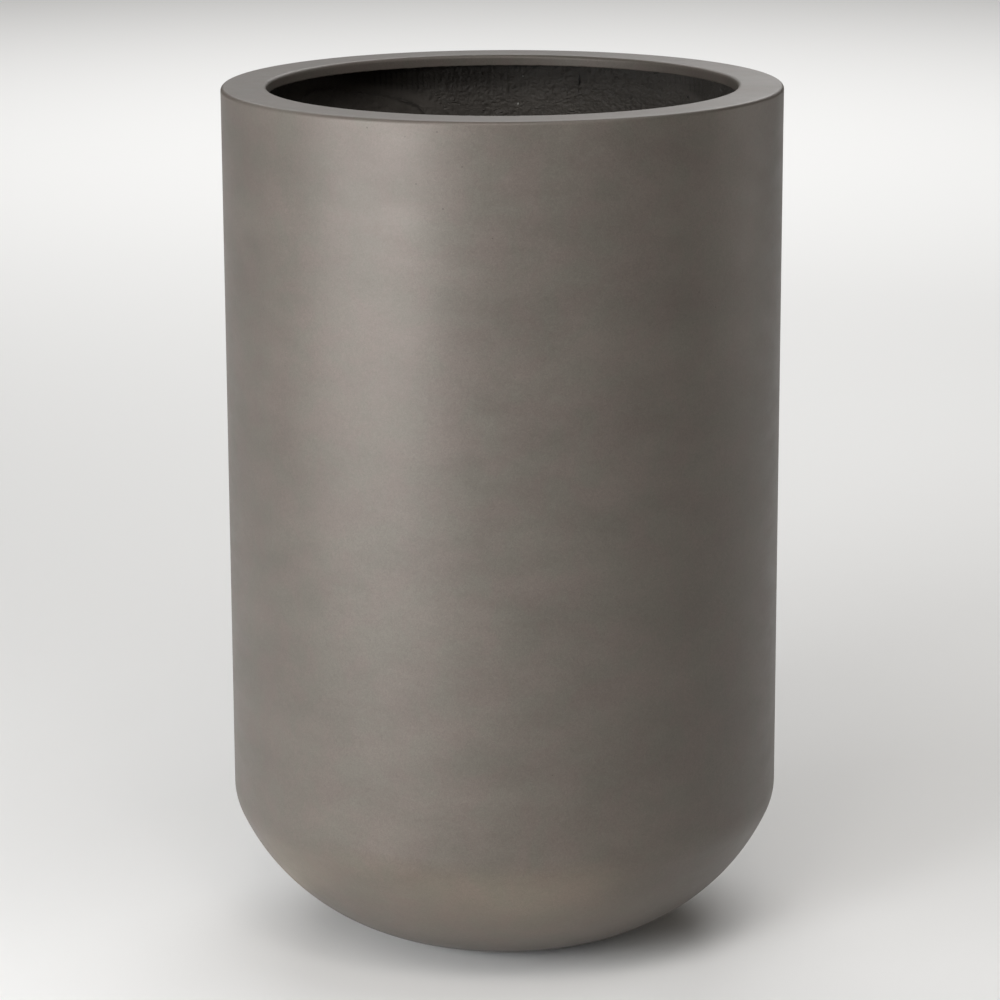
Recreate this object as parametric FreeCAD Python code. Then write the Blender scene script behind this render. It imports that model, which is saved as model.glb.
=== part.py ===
import FreeCAD, Part
import math
import os

# Tall round floor planter in moulded fibreglass: a straight wall that turns through a soft
# corner into a bowl-shaped bottom, and a flat rim with a turned-down lip around the mouth.
# Millimetres, +Z up. The origin is on the axis, on the surface that the foot pads stand on.

# overall
OVERALL_HEIGHT = 673.0
OUTER_RADIUS = 216.0

# outline of the wall and bowl, from the top down
CORNER_START_HEIGHT = 119.0
CORNER_RADIUS = 48.0
CORNER_TURN = 24.0  # degrees from upright where the corner arc runs into the bowl arc
BOWL_RADIUS = 172.0
BASE_EDGE_RADIUS = 30.0

# layers of the wall
SHELL_THICKNESS = 4.0
LINING_THICKNESS = 2.0

# rim
RIM_THICKNESS = 5.0
RIM_WIDTH = 35.0
RIM_EDGE_RADIUS = 3.0
LIP_DEPTH = 9.0
LIP_THICKNESS = 5.0
LIP_EDGE_RADIUS = 0.8
BEAD_SIZE = 10.0

# floor, drain and feet
DOUBLER_RADIUS = 85.0
DOUBLER_THICKNESS = 2.5
DOUBLER_CHAMFER = 1.5
DRAIN_RADIUS = 12.5
PAD_COUNT = 4
PAD_RADIUS = 11.0
PAD_HEIGHT = 3.0
PAD_CIRCLE_RADIUS = 82.0
PAD_FIRST_ANGLE = 45.0
PAD_CHAMFER = 0.6

# drain plug
PLUG_FIT = 0.05  # radial gap in the hole, and the gap under the flange
PLUG_TAPER = 1.0
PLUG_BOTTOM_HEIGHT = 1.8
PLUG_FLANGE_RADIUS = 18.0
PLUG_FLANGE_THICKNESS = 2.4
PLUG_FLANGE_EDGE = 1.0
PLUG_GRIP_RADIUS = 6.0
PLUG_GRIP_HEIGHT = 6.0
PLUG_GRIP_EDGE = 1.5
PLUG_CORE_RADIUS = 7.5
PLUG_CORE_DEPTH = 7.0

# lapped piece of glass mat on the inside of the wall
PATCH_THICKNESS = 1.0
PATCH_WIDTH = 140.0
PATCH_LENGTH = 110.0
PATCH_CORNER_RADIUS = 35.0
PATCH_TILT = 11.0  # degrees that it is laid askew, raising its -X end
PATCH_TURN = 36.5  # degrees from +Y towards -X
PATCH_DEPTH = 84.0  # from the top of the rim to its middle

BASE_HEIGHT = PAD_HEIGHT
RIM_UNDERSIDE = OVERALL_HEIGHT - RIM_THICKNESS
MOUTH_RADIUS = OUTER_RADIUS - RIM_WIDTH
LINING_RADIUS = OUTER_RADIUS - SHELL_THICKNESS - LINING_THICKNESS
FLOOR_HEIGHT = BASE_HEIGHT + SHELL_THICKNESS + LINING_THICKNESS
SEAT_HEIGHT = FLOOR_HEIGHT + DOUBLER_THICKNESS


def point(radius, height):
    """A point of a half section, in the XZ plane."""
    return FreeCAD.Vector(radius, 0.0, height)


def line(start, end):
    """A straight edge between two (radius, height) pairs."""
    return Part.LineSegment(point(*start), point(*end)).toShape()


def around(centre, radius, degrees):
    """The (radius, height) pair that lies on a circle, below its centre by an angle in degrees."""
    angle = math.radians(degrees)
    return centre[0] + radius * math.cos(angle), centre[1] - radius * math.sin(angle)


def arc(centre, radius, start_degrees, end_degrees):
    """A circular edge, with angles in degrees downwards from the outward direction."""
    middle_degrees = (start_degrees + end_degrees) / 2
    ends = [around(centre, radius, a) for a in (start_degrees, middle_degrees, end_degrees)]
    return Part.Arc(*[point(*p) for p in ends]).toShape()


def turned(edges):
    """Closes the edges into a half section and turns it once round the Z axis."""
    face = Part.Face(Part.Wire(Part.__sortEdges__(edges)))
    solid = face.revolve(FreeCAD.Vector(0, 0, 0), FreeCAD.Vector(0, 0, 1), 360)
    if solid.Volume < 0:
        solid.reverse()
    return solid


# centres of the three arcs of the outline, each tangent to the next
corner_centre = (OUTER_RADIUS - CORNER_RADIUS, CORNER_START_HEIGHT)
corner_end = around(corner_centre, CORNER_RADIUS, CORNER_TURN)
bowl_centre = around(corner_end, -BOWL_RADIUS, CORNER_TURN)
base_centre_height = BASE_HEIGHT + BASE_EDGE_RADIUS
base_turn = math.degrees(
    math.asin((bowl_centre[1] - base_centre_height) / (BOWL_RADIUS - BASE_EDGE_RADIUS))
)
base_centre = around(bowl_centre, BOWL_RADIUS - BASE_EDGE_RADIUS, base_turn)


def outline(inset, inner_radius, top):
    """Edges of the wall, corner, bowl and floor at a distance inside the outer surface."""
    wall = OUTER_RADIUS - inset
    floor = BASE_HEIGHT + inset
    return [
        line((wall, top), (wall, CORNER_START_HEIGHT)),
        arc(corner_centre, CORNER_RADIUS - inset, 0, CORNER_TURN),
        arc(bowl_centre, BOWL_RADIUS - inset, CORNER_TURN, base_turn),
        arc(base_centre, BASE_EDGE_RADIUS - inset, base_turn, 90),
        line((base_centre[0], floor), (inner_radius, floor)),
    ]


def layer(outer_inset, thickness, top):
    """One layer of the moulding, open at the top and pierced by the drain hole."""
    inner_inset = outer_inset + thickness
    edges = outline(outer_inset, DRAIN_RADIUS, top) + outline(inner_inset, DRAIN_RADIUS, top)
    edges.append(line((OUTER_RADIUS - outer_inset, top), (OUTER_RADIUS - inner_inset, top)))
    low = BASE_HEIGHT + outer_inset
    edges.append(line((DRAIN_RADIUS, low), (DRAIN_RADIUS, low + thickness)))
    return turned(edges)


def outer_shell():
    return layer(0.0, SHELL_THICKNESS, RIM_UNDERSIDE)


def inner_lining():
    return layer(SHELL_THICKNESS, LINING_THICKNESS, RIM_UNDERSIDE)


def rim_ring():
    """Flat flange with rounded top edges and a lip turned down into the mouth."""
    top = OVERALL_HEIGHT
    lip_bottom = top - LIP_DEPTH
    lip_back = MOUTH_RADIUS + LIP_THICKNESS
    edge = RIM_EDGE_RADIUS
    small = LIP_EDGE_RADIUS
    return turned([
        line((OUTER_RADIUS, RIM_UNDERSIDE), (OUTER_RADIUS, top - edge)),
        arc((OUTER_RADIUS - edge, top - edge), edge, 0, -90),
        line((OUTER_RADIUS - edge, top), (MOUTH_RADIUS + edge, top)),
        arc((MOUTH_RADIUS + edge, top - edge), edge, -90, -180),
        line((MOUTH_RADIUS, top - edge), (MOUTH_RADIUS, lip_bottom + small)),
        arc((MOUTH_RADIUS + small, lip_bottom + small), small, 180, 90),
        line((MOUTH_RADIUS + small, lip_bottom), (lip_back - small, lip_bottom)),
        arc((lip_back - small, lip_bottom + small), small, 90, 0),
        line((lip_back, lip_bottom + small), (lip_back, RIM_UNDERSIDE)),
        line((lip_back, RIM_UNDERSIDE), (OUTER_RADIUS, RIM_UNDERSIDE)),
    ])


def rim_bead():
    """Hollow-faced bead of bonding paste in the corner under the rim."""
    low = RIM_UNDERSIDE - BEAD_SIZE
    inner = LINING_RADIUS - BEAD_SIZE
    return turned([
        line((inner, RIM_UNDERSIDE), (LINING_RADIUS, RIM_UNDERSIDE)),
        line((LINING_RADIUS, RIM_UNDERSIDE), (LINING_RADIUS, low)),
        arc((inner, low), BEAD_SIZE, 0, -90),
    ])


def floor_doubler():
    """Extra disc of laminate on the floor, with a bevelled edge and the drain hole."""
    edge = DOUBLER_RADIUS - DOUBLER_CHAMFER
    shoulder = SEAT_HEIGHT - DOUBLER_CHAMFER
    return turned([
        line((DRAIN_RADIUS, FLOOR_HEIGHT), (DOUBLER_RADIUS, FLOOR_HEIGHT)),
        line((DOUBLER_RADIUS, FLOOR_HEIGHT), (DOUBLER_RADIUS, shoulder)),
        line((DOUBLER_RADIUS, shoulder), (edge, SEAT_HEIGHT)),
        line((edge, SEAT_HEIGHT), (DRAIN_RADIUS, SEAT_HEIGHT)),
        line((DRAIN_RADIUS, SEAT_HEIGHT), (DRAIN_RADIUS, FLOOR_HEIGHT)),
    ])


def mat_patch():
    """Round-cornered piece of mat, laid a little askew, that follows the inside of the wall."""
    ring = Part.makeCylinder(LINING_RADIUS, OVERALL_HEIGHT)
    ring = ring.cut(Part.makeCylinder(LINING_RADIUS - PATCH_THICKNESS, OVERALL_HEIGHT))
    origin = FreeCAD.Vector(0, 0, 0)
    corner = FreeCAD.Vector(-PATCH_WIDTH / 2, 0, -PATCH_LENGTH / 2)
    punch = Part.makeBox(PATCH_WIDTH, OUTER_RADIUS, PATCH_LENGTH, corner)
    along_y = [e for e in punch.Edges if abs(e.Vertexes[0].Y - e.Vertexes[1].Y) > 1]
    punch = punch.makeFillet(PATCH_CORNER_RADIUS, along_y)
    punch.rotate(origin, FreeCAD.Vector(0, 1, 0), PATCH_TILT)
    punch.rotate(origin, FreeCAD.Vector(0, 0, 1), PATCH_TURN)
    punch.translate(FreeCAD.Vector(0, 0, OVERALL_HEIGHT - PATCH_DEPTH))
    return ring.common(punch).Solids[0]


def drain_plug():
    """Rubber stopper: a tapered hollow shank, a flange that seats on the floor, and a grip."""
    seat = SEAT_HEIGHT + PLUG_FIT
    shank_top = DRAIN_RADIUS - PLUG_FIT
    shank_bottom = shank_top - PLUG_TAPER
    low = PLUG_BOTTOM_HEIGHT
    flange_top = seat + PLUG_FLANGE_THICKNESS
    flange_edge = PLUG_FLANGE_RADIUS - PLUG_FLANGE_EDGE
    grip_top = flange_top + PLUG_GRIP_HEIGHT
    grip_edge = PLUG_GRIP_RADIUS - PLUG_GRIP_EDGE
    core_top = low + PLUG_CORE_DEPTH
    return turned([
        line((PLUG_CORE_RADIUS, low), (shank_bottom, low)),
        line((shank_bottom, low), (shank_top, seat)),
        line((shank_top, seat), (PLUG_FLANGE_RADIUS, seat)),
        line((PLUG_FLANGE_RADIUS, seat), (PLUG_FLANGE_RADIUS, flange_top - PLUG_FLANGE_EDGE)),
        arc((flange_edge, flange_top - PLUG_FLANGE_EDGE), PLUG_FLANGE_EDGE, 0, -90),
        line((flange_edge, flange_top), (PLUG_GRIP_RADIUS, flange_top)),
        line((PLUG_GRIP_RADIUS, flange_top), (PLUG_GRIP_RADIUS, grip_top - PLUG_GRIP_EDGE)),
        arc((grip_edge, grip_top - PLUG_GRIP_EDGE), PLUG_GRIP_EDGE, 0, -90),
        line((grip_edge, grip_top), (0.0, grip_top)),
        line((0.0, grip_top), (0.0, core_top)),
        line((0.0, core_top), (PLUG_CORE_RADIUS, core_top)),
        line((PLUG_CORE_RADIUS, core_top), (PLUG_CORE_RADIUS, low)),
    ])


def foot_pads():
    """Round rubber pads stuck under the flat of the base."""
    pad = turned([
        line((0.0, 0.0), (PAD_RADIUS - PAD_CHAMFER, 0.0)),
        line((PAD_RADIUS - PAD_CHAMFER, 0.0), (PAD_RADIUS, PAD_CHAMFER)),
        line((PAD_RADIUS, PAD_CHAMFER), (PAD_RADIUS, PAD_HEIGHT)),
        line((PAD_RADIUS, PAD_HEIGHT), (0.0, PAD_HEIGHT)),
        line((0.0, PAD_HEIGHT), (0.0, 0.0)),
    ])
    pads = []
    for index in range(PAD_COUNT):
        angle = math.radians(PAD_FIRST_ANGLE + index * 360 / PAD_COUNT)
        place = FreeCAD.Vector(math.cos(angle), math.sin(angle), 0) * PAD_CIRCLE_RADIUS
        pads.append(pad.translated(place))
    return Part.makeCompound(pads)


PIECES = [
    outer_shell,
    inner_lining,
    rim_ring,
    rim_bead,
    floor_doubler,
    mat_patch,
    drain_plug,
    foot_pads,
]

os.makedirs("parts", exist_ok=True)
for make in PIECES:
    shape = make()
    box = shape.BoundBox
    print(
        f"{make.__name__:14s} solids {len(shape.Solids)} valid {shape.isValid()} "
        f"volume {shape.Volume / 1000:8.2f} cm3  z {box.ZMin:7.2f} to {box.ZMax:7.2f}"
    )
    shape.exportStep(os.path.join("parts", make.__name__ + ".step"))
print(f"base edge at radius {base_centre[0]:.1f}, bowl arc ends at {base_turn:.1f} degrees")
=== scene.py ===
import math

import bpy
import numpy as np
from mathutils import Matrix, Vector


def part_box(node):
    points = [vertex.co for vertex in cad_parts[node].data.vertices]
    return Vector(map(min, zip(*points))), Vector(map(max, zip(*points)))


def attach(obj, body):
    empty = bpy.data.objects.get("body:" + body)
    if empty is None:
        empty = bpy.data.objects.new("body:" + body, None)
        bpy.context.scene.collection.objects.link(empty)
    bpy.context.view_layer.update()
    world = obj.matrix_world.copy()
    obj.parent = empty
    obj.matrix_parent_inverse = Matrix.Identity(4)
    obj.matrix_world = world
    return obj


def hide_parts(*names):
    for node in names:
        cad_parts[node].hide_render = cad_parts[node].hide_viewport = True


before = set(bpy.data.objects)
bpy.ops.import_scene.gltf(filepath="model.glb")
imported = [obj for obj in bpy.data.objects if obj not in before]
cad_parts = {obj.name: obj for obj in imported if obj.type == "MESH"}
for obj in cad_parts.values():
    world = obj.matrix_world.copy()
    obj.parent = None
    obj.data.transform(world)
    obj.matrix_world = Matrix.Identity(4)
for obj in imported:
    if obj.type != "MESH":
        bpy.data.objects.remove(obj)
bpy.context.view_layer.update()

planterBody = "planter"

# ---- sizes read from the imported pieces, in metres

_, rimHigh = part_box("rim_ring")
shellLow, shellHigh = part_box("outer_shell")
liningLow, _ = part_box("inner_lining")
doublerLow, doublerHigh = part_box("floor_doubler")
beadLow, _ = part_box("rim_bead")

topHeight = rimHigh.z
wallRadius = rimHigh.x
baseHeight = shellLow.z
shellThickness = liningLow.z - shellLow.z
liningThickness = doublerLow.z - liningLow.z
rimUnderside = shellHigh.z
liningRadius = wallRadius - shellThickness - liningThickness
print("frame read: height", round(topHeight, 4), "radius", round(wallRadius, 4))


# ---- grids and outlines

sharpEdge = math.radians(38)   # edges that turn by more than this stay sharp


def arcLine(centre, radius, startDegrees, endDegrees, steps):
    # points of a circular arc, with angles measured downwards from the outward direction
    angle = np.radians(np.linspace(startDegrees, endDegrees, steps))
    return np.stack([centre[0] + radius * np.cos(angle), centre[1] - radius * np.sin(angle)], axis=1)


def straightLine(start, end, steps):
    share = np.linspace(0.0, 1.0, steps)[:, None]
    return np.array(start) * (1 - share) + np.array(end) * share


def joinLines(*lines):
    # one run of points, without the doubled point where two lines meet
    kept = [lines[0]]
    for line in lines[1:]:
        skip = 1 if np.allclose(kept[-1][-1], line[0], atol=1e-7) else 0
        kept.append(line[skip:])
    return np.concatenate(kept)


def turnProfile(profile, columns):
    # surface of revolution: each (radius, height) of the profile is carried round the Z axis
    turn = np.arange(columns) / columns * 2 * np.pi
    radius, height = profile[:, 0:1], profile[:, 1:2]
    return np.stack(
        [radius * np.sin(turn), -radius * np.cos(turn), height + 0 * turn], axis=2
    )


def softNoise(across, along, cellsAcross, cellsAlong, seed):
    # smooth value noise from -1 to 1: random heights on a lattice that closes on itself across,
    # blended between lattice points with the weight 3t^2 - 2t^3
    lattice = np.random.default_rng(seed).uniform(-1, 1, (cellsAlong + 2, cellsAcross))
    x = np.mod(across, 1.0) * cellsAcross
    y = np.clip(along, 0.0, 1.0) * cellsAlong
    column, row = np.floor(x).astype(int), np.floor(y).astype(int)
    tx, ty = x - column, y - row
    tx, ty = tx * tx * (3 - 2 * tx), ty * ty * (3 - 2 * ty)
    nextColumn = (column + 1) % cellsAcross
    column = column % cellsAcross
    upper = lattice[row, column] * (1 - tx) + lattice[row, nextColumn] * tx
    lower = lattice[row + 1, column] * (1 - tx) + lattice[row + 1, nextColumn] * tx
    return upper * (1 - ty) + lower * ty


def slopeNoise(across, along, cellsAcross, cellsAlong, seed):
    # gradient noise from about -1 to 1: a random slope at each lattice point, carried to the place and
    # blended with the weight 6t^5 - 15t^4 + 10t^3, and 1.6 times that; it closes on itself across
    lean = np.random.default_rng(seed).uniform(0, 2 * np.pi, (cellsAlong + 2, cellsAcross))
    x = np.mod(across, 1.0) * cellsAcross
    y = np.clip(along, 0.0, 1.0) * cellsAlong
    column, row = np.floor(x).astype(int), np.floor(y).astype(int)
    tx, ty = x - column, y - row
    sx = tx ** 3 * (tx * (6 * tx - 15) + 10)
    sy = ty ** 3 * (ty * (6 * ty - 15) + 10)
    total = 0
    for down, weightY in ((0, 1 - sy), (1, sy)):
        for right, weightX in ((0, 1 - sx), (1, sx)):
            slope = lean[row + down, (column + right) % cellsAcross]
            rise = np.cos(slope) * (tx - right) + np.sin(slope) * (ty - down)
            total = total + weightX * weightY * rise
    return 1.6 * total


def layered(noise, across, along, layers):
    # a sum of noises of one kind; a layer is its cells across, its cells along, its seed and its weight
    return sum(weight * noise(across, along, *cells) for *cells, weight in layers)


def acrossShare(columns):
    # how far round each column of a turned grid is, from 0 to 1
    return np.arange(columns)[None, :] / columns


def alongShare(profile):
    # how far along the profile each of its points is, from 0 to 1
    steps = np.hypot(*np.diff(profile, axis=0).T)
    length = np.concatenate([[0.0], np.cumsum(steps)])
    return length / length[-1], length


def pushAlongNormals(points, height, closedAlong):
    # moves each point of a turned grid along its own normal by a height in metres
    nextAcross = np.roll(points, -1, axis=1) - np.roll(points, 1, axis=1)
    if closedAlong:
        nextAlong = np.roll(points, -1, axis=0) - np.roll(points, 1, axis=0)
    else:
        nextAlong = np.gradient(points, axis=0)
    normal = np.cross(nextAlong, nextAcross)
    normal /= np.maximum(np.linalg.norm(normal, axis=2, keepdims=True), 1e-12)
    return points + normal * height[..., None]


def gridMesh(name, points, closeAlong, uvScale=None):
    # quads between the rows and columns of a grid that closes on itself across and, if asked, along;
    # rows that run downwards on the outside give faces that look outwards
    rows, columns = points.shape[:2]
    index = np.arange(rows * columns).reshape(rows, columns)
    if closeAlong:
        upper, lower = index, np.roll(index, -1, axis=0)
    else:
        upper, lower = index[:-1], index[1:]
    faces = np.stack(
        [upper, lower, np.roll(lower, -1, axis=1), np.roll(upper, -1, axis=1)], axis=2
    ).reshape(-1, 4)
    mesh = bpy.data.meshes.new(name)
    mesh.vertices.add(rows * columns)
    mesh.vertices.foreach_set("co", points.reshape(-1).astype(np.float32))
    mesh.loops.add(faces.size)
    mesh.loops.foreach_set("vertex_index", faces.reshape(-1).astype(np.int32))
    mesh.polygons.add(len(faces))
    mesh.polygons.foreach_set("loop_start", np.arange(0, faces.size, 4, dtype=np.int32))
    mesh.update(calc_edges=True)
    mesh.validate()
    if uvScale:
        # u is the turn and v the row, both counted in repeats of the weave
        turn = np.arange(columns) / columns * uvScale[0]
        step = uvScale[0] / columns
        down = uvScale[1]
        u = np.stack([turn, turn, turn + step, turn + step], axis=1)
        v = np.stack([down[:-1], down[1:], down[1:], down[:-1]], axis=1)
        uv = np.zeros((rows - 1, columns, 4, 2), np.float32)
        uv[..., 0] = u[None]
        uv[..., 1] = v[:, None]
        layer = mesh.uv_layers.new(name="weave")
        layer.uv.foreach_set("vector", uv.reshape(-1))
    mesh.shade_smooth()
    mesh.set_sharp_from_angle(angle=sharpEdge)
    piece = bpy.data.objects.new(name, mesh)
    bpy.context.scene.collection.objects.link(piece)
    return piece


def paintPoints(piece, name, values):
    # one number for each point of the mesh, for its material to read
    layer = piece.data.attributes.new(name, "FLOAT", "POINT")
    layer.data.foreach_set("value", np.ascontiguousarray(values, dtype=np.float32).reshape(-1))


def unitDisc(cells):
    # square grid drawn onto a disc, with no pole: p = s * sqrt(1 - t^2 / 2), q = t * sqrt(1 - s^2 / 2)
    s, t = np.meshgrid(np.linspace(-1, 1, cells), np.linspace(-1, 1, cells))
    return s * np.sqrt(1 - t * t / 2), t * np.sqrt(1 - s * s / 2)


def sheetMesh(name, front, back, uv=None):
    # a closed sheet: the front grid, the back grid turned over, and a strip of quads along the border
    rows, columns = front.shape[:2]
    index = np.arange(rows * columns).reshape(rows, columns)
    top = np.stack([index[:-1, :-1], index[:-1, 1:], index[1:, 1:], index[1:, :-1]], axis=2)
    top = top.reshape(-1, 4)
    under = top[:, ::-1] + rows * columns
    border = np.concatenate([index[0, :-1], index[:-1, -1], index[-1, :0:-1], index[:0:-1, 0]])
    onward = np.roll(border, -1)
    side = np.stack([border, border + rows * columns, onward + rows * columns, onward], axis=1)
    faces = np.concatenate([top, under, side])
    points = np.concatenate([front.reshape(-1, 3), back.reshape(-1, 3)])
    mesh = bpy.data.meshes.new(name)
    mesh.from_pydata(points, [], faces)
    if uv is not None:
        both = np.concatenate([uv.reshape(-1, 2), uv.reshape(-1, 2)])
        mesh.uv_layers.new(name="weave").uv.foreach_set("vector", both[faces.reshape(-1)].reshape(-1))
    mesh.shade_smooth()
    piece = bpy.data.objects.new(name, mesh)
    bpy.context.scene.collection.objects.link(piece)
    return piece


def onWall(turnDegrees, sideways, height, inward):
    # a place on the inside of the wall: sideways in metres from a turn given from the back towards
    # the left, and inward in metres from the lining
    turn = math.radians(180 + turnDegrees) + sideways / liningRadius
    radius = liningRadius - inward
    return np.stack([radius * np.sin(turn), -radius * np.cos(turn), height + 0 * turn], axis=-1)


def finishPiece(piece, material, slotName, *nodes):
    piece.data.materials.clear()
    piece.data.materials.append(material)
    if nodes:
        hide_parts(*nodes)
    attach(piece, planterBody)
    return piece


# ---- material building

def addNode(tree, kind, inputs=None, **settings):
    node = tree.nodes.new(kind)
    for key, value in settings.items():
        setattr(node, key, value)
    for key, value in (inputs or {}).items():
        if isinstance(value, bpy.types.NodeSocket):
            tree.links.new(value, node.inputs[key])
        else:
            node.inputs[key].default_value = value
    return node


def newMaterial(name):
    material = bpy.data.materials.new(name)
    material.use_nodes = True
    tree = material.node_tree
    tree.nodes.clear()
    return material, tree


def noiseOf(tree, vector, scale, detail=2.0, roughness=0.5, distortion=0.0):
    inputs = {"Vector": vector, "Scale": scale, "Detail": detail}
    inputs.update({"Roughness": roughness, "Distortion": distortion})
    return addNode(tree, "ShaderNodeTexNoise", inputs).outputs["Fac"]


def mapped(tree, value, low, high, toLow=0.0, toHigh=1.0):
    inputs = {"Value": value, "From Min": low, "From Max": high, "To Min": toLow, "To Max": toHigh}
    return addNode(tree, "ShaderNodeMapRange", inputs).outputs["Result"]


def mathOf(tree, operation, first, second=0.0):
    return addNode(tree, "ShaderNodeMath", {0: first, 1: second}, operation=operation).outputs[0]


def weighted(tree, first, firstShare, second, secondShare):
    scaledFirst = mathOf(tree, "MULTIPLY", first, firstShare)
    return mathOf(tree, "ADD", scaledFirst, mathOf(tree, "MULTIPLY", second, secondShare))


def mixColour(tree, factor, first, second, blend="MIX"):
    node = addNode(tree, "ShaderNodeMix", data_type="RGBA", blend_type=blend)
    for socket, value in ((node.inputs[0], factor), (node.inputs[6], first), (node.inputs[7], second)):
        if isinstance(value, bpy.types.NodeSocket):
            tree.links.new(value, socket)
        else:
            socket.default_value = value
    return node.outputs[2]


def objectSpace(tree, stretch=(1.0, 1.0, 1.0)):
    place = addNode(tree, "ShaderNodeTexCoord").outputs["Object"]
    return addNode(tree, "ShaderNodeMapping", {"Vector": place, "Scale": stretch}).outputs["Vector"]


def bumpOf(tree, height, strength, distance):
    inputs = {"Height": height, "Strength": strength, "Distance": distance}
    return addNode(tree, "ShaderNodeBump", inputs).outputs["Normal"]


def finishShader(tree, inputs):
    shader = addNode(tree, "ShaderNodeBsdfPrincipled", inputs)
    addNode(tree, "ShaderNodeOutputMaterial", {"Surface": shader.outputs[0]})


# ---- finishes
# a noise is given by its scale, detail, roughness and distortion; a range by where it starts and ends,
# and then by what its two ends turn into; a bump by its strength and its distance

coatSettings = {
    "dark": (0.089, 0.078, 0.068, 1.0),
    "light": (0.107, 0.094, 0.082, 1.0),
    "pinkish": (1.03, 0.988, 1.0, 1.0),     # blotches of the coat that lean one way or the other
    "greenish": (0.97, 1.006, 0.99, 1.0),
    "sheenTint": (1.0, 0.915, 0.855, 1.0),  # pigment in the coat warms its gloss
    "pitColour": (0.03, 0.026, 0.022, 1.0),
    "flatten": (1.0, 1.0, 2.2),             # clouds and smudges are wider than they are high
    "clouds": (9.0, 3.0, 0.55),
    "smudges": (26.0, 3.0, 0.6),
    "grain": (330.0, 3.0, 0.65, 1.6),
    "specks": (1500.0, 1.0, 0.5),
    "blotches": (38.0, 3.0, 0.6, 0.6),
    "cloudShare": 0.6,
    "smudgeShare": 0.4,
    "cloudRange": (0.36, 0.64),
    "blotchRange": (0.38, 0.62),
    "grainRange": (0.3, 0.7, 0.90, 1.10),
    "speckRange": (0.3, 0.7, 0.92, 1.08),
    "roughRange": (0.3, 0.7, 0.41, 0.49),
    # pinholes in the coat, where the photo shows the darkest of them, and stray ones elsewhere
    "pits": ((-0.0972, -0.1929, 0.6661), (-0.0797, -0.2008, 0.6726), (-0.0467, -0.2109, 0.6653),
             (-0.0289, -0.2141, 0.6406), (-0.0621, -0.2069, 0.6273), (-0.0428, -0.2117, 0.6099)),
    "pitRange": (0.0003, 0.0007, 0.9, 0.0),
    "strayPitScale": 34.0,
    "strayPitRange": (0.012, 0.020, 0.8, 0.0),
    "grainHeight": 0.5,
    "pitHeight": -2.0,
    "bump": (0.25, 0.0002),
    "gloss": 0.5,
}


def coatFinish():
    # satin mineral-filled face coat: soft clouds, smudges stretched round the wall, fine fibrous grain
    s = coatSettings
    material, tree = newMaterial("coatSatinGrey")
    plain = objectSpace(tree)
    flat = objectSpace(tree, s["flatten"])
    clouds = noiseOf(tree, flat, *s["clouds"])
    smudges = noiseOf(tree, flat, *s["smudges"])
    grain = noiseOf(tree, plain, *s["grain"])
    specks = noiseOf(tree, plain, *s["specks"])
    cloudy = weighted(tree, clouds, s["cloudShare"], smudges, s["smudgeShare"])
    tone = mixColour(tree, mapped(tree, cloudy, *s["cloudRange"]), s["dark"], s["light"])
    blotches = noiseOf(tree, plain, *s["blotches"])
    hue = mixColour(tree, mapped(tree, blotches, *s["blotchRange"]), s["pinkish"], s["greenish"])
    tinted = mixColour(tree, 1.0, tone, hue, "MULTIPLY")
    grained = mixColour(tree, 1.0, tinted, mapped(tree, grain, *s["grainRange"]), "MULTIPLY")
    specked = mixColour(tree, 1.0, grained, mapped(tree, specks, *s["speckRange"]), "MULTIPLY")
    stray = addNode(tree, "ShaderNodeTexVoronoi", {"Vector": plain, "Scale": s["strayPitScale"]})
    pitMask = mapped(tree, stray.outputs["Distance"], *s["strayPitRange"])
    for place in s["pits"]:
        away = addNode(tree, "ShaderNodeVectorMath", {0: plain, 1: place}, operation="DISTANCE")
        pit = mapped(tree, away.outputs["Value"], *s["pitRange"])
        pitMask = mathOf(tree, "MAXIMUM", pitMask, pit)
    height = weighted(tree, grain, s["grainHeight"], pitMask, s["pitHeight"])
    finishShader(
        tree,
        {
            "Base Color": mixColour(tree, pitMask, specked, s["pitColour"]),
            "Roughness": mapped(tree, smudges, *s["roughRange"]),
            "Normal": bumpOf(tree, height, *s["bump"]),
            "Specular IOR Level": s["gloss"],
            "Specular Tint": s["sheenTint"],
        },
    )
    return material


laminateSettings = {
    "dark": (0.060, 0.053, 0.046, 1.0),
    "light": (0.090, 0.081, 0.071, 1.0),
    # painted shade: this near-black colour darkens the weave grooves and paints the shadow beside the
    # lapped patch
    "resin": (0.012, 0.010, 0.008, 1.0),
    "brushed": (0.098, 0.088, 0.078, 1.0),
    "wanderScale": 60.0,       # the weave wanders a little
    "wanderDetail": 2.0,
    "wanderShare": 0.25,
    "grooveRange": (0.55, 1.0),
    "patches": (22.0, 3.0, 0.6),
    "patchRange": (0.42, 0.62),
    "lumps": (230.0, 3.0, 0.6, 0.8),
    "fine": (700.0, 2.0, 0.6),
    "stains": (14.0, 3.0, 0.6),
    "streaks": (260.0, 2.0),
    "lumpHeight": 1.4,
    "fineHeight": 0.3,
    "weaveHeight": -0.12,
    "stainRange": (0.35, 0.68),
    # painted shade: the colour follows the height of the relief, darker in its hollows and lighter on its
    # lumps
    "heightShadeRange": (0.2, 1.4, 0.7, 1.25),
    "streakRange": (0.3, 0.7, 0.55, 1.0),
    "roughRange": (0.3, 0.7, 0.5, 0.75),
    "brushedShare": 0.7,
    "bump": 0.75,
    "brushedBump": 0.15,
    "bumpDistance": 0.0012,
    "gloss": 0.4,
}


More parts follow.
